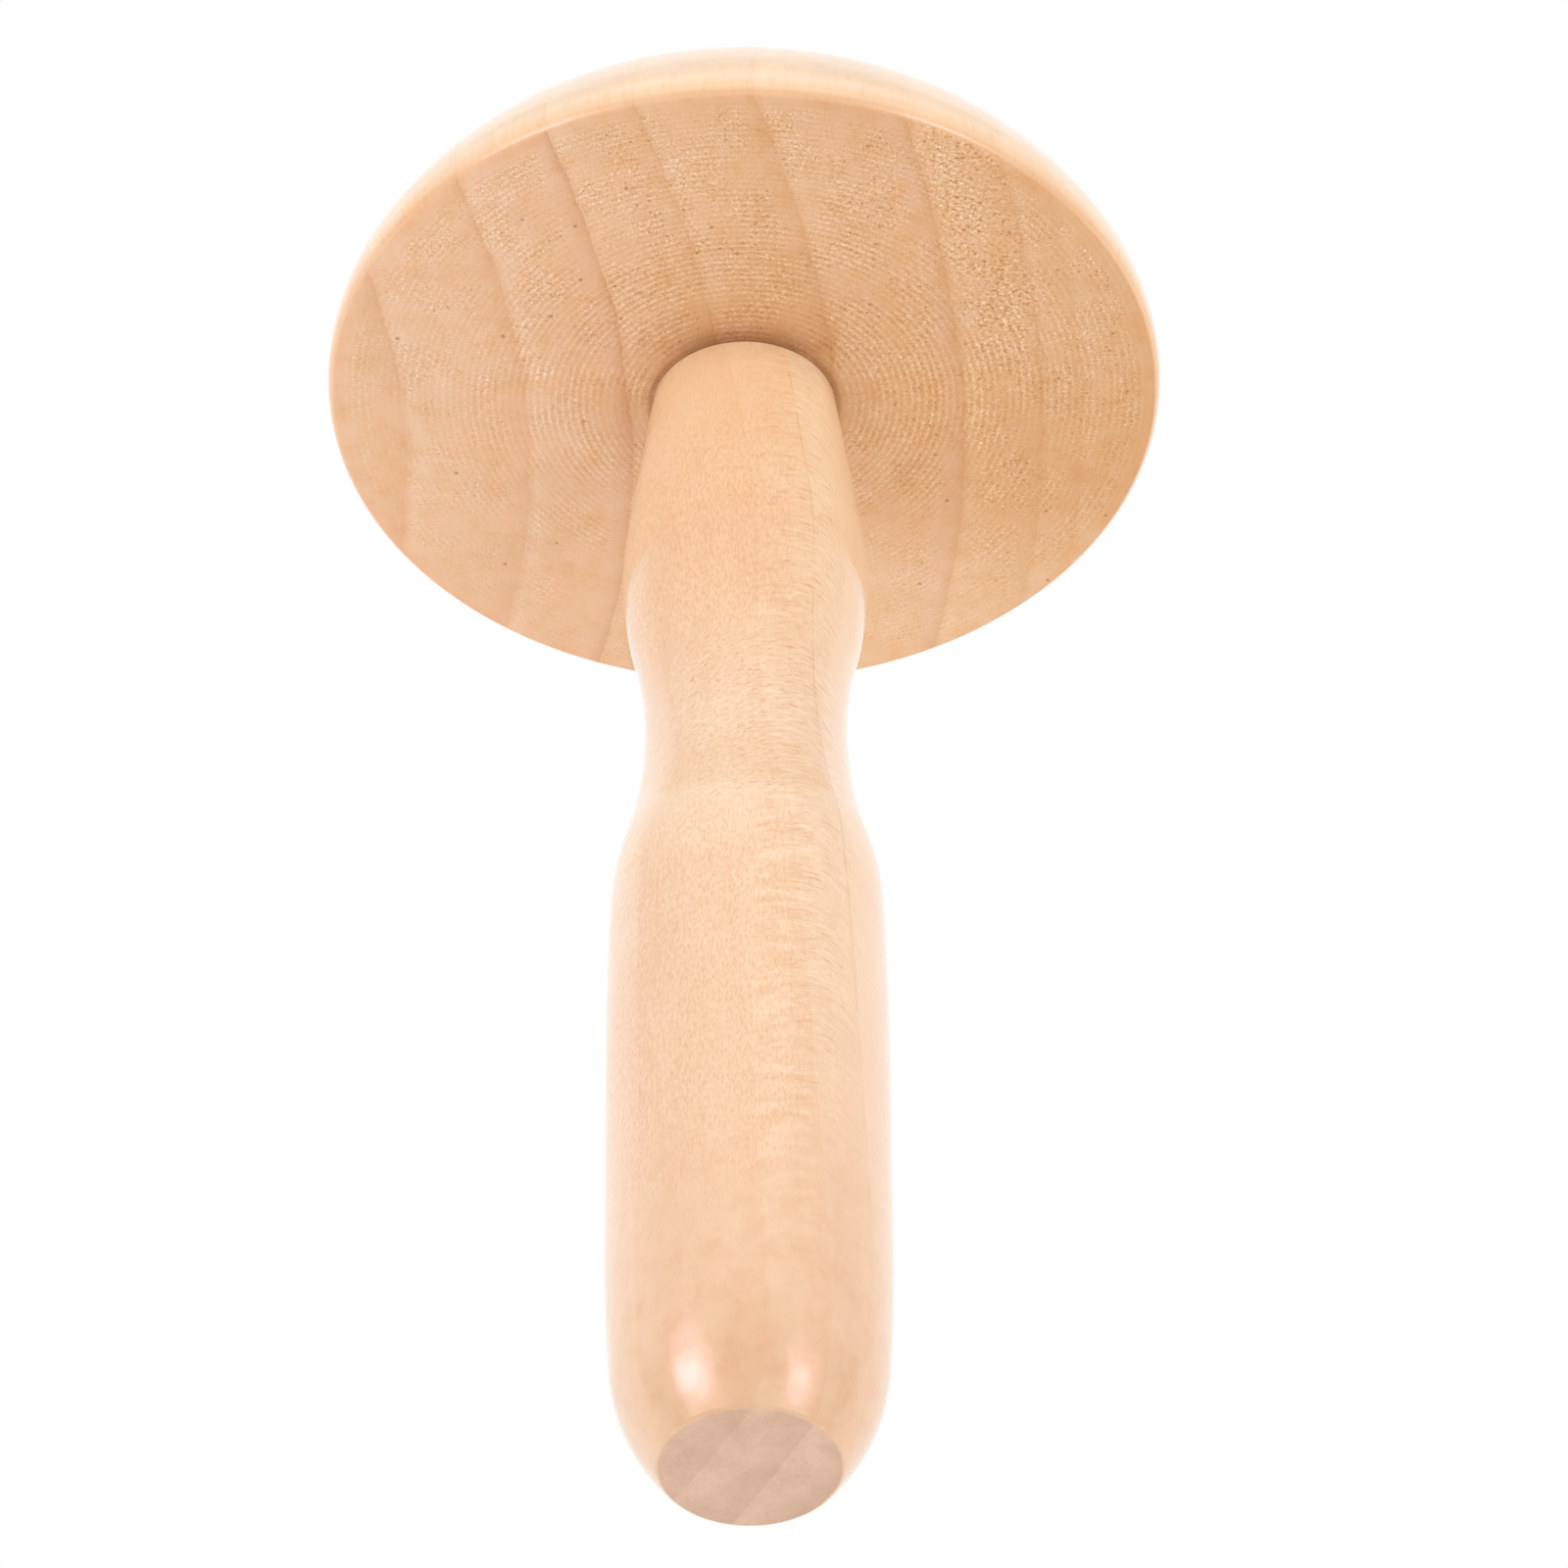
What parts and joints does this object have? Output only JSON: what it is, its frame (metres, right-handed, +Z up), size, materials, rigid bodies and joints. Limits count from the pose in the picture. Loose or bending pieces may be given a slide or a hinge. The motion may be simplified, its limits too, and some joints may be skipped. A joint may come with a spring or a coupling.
{
  "type": "darning mushroom",
  "caption": "Turned wooden darning mushroom: a domed cap with a flat underside on a round handle with a slim waist and a flat end.",
  "frame": {"origin": "centre of the handle's flat end, where the upright mushroom stands", "axes": "+Z up the turning axis, from the flat end to the crown of the cap; every side is alike, and -Y is the side that the picture shows"},
  "size_m": [0.0756, 0.0756, 0.1502],
  "materials": {
    "cap_wood": "turned pale hardwood, satin varnish on the dome, bare end grain on the underside",
    "handle_wood": "turned pale hardwood with a curly figure, satin varnish, bare end grain on the flat end",
    "glue": "dried wood glue"
  },
  "bodies": {
    "root": {"cap": "cap_wood", "handle": "handle_wood", "glue_film": "glue"}
  },
  "joints": []
}
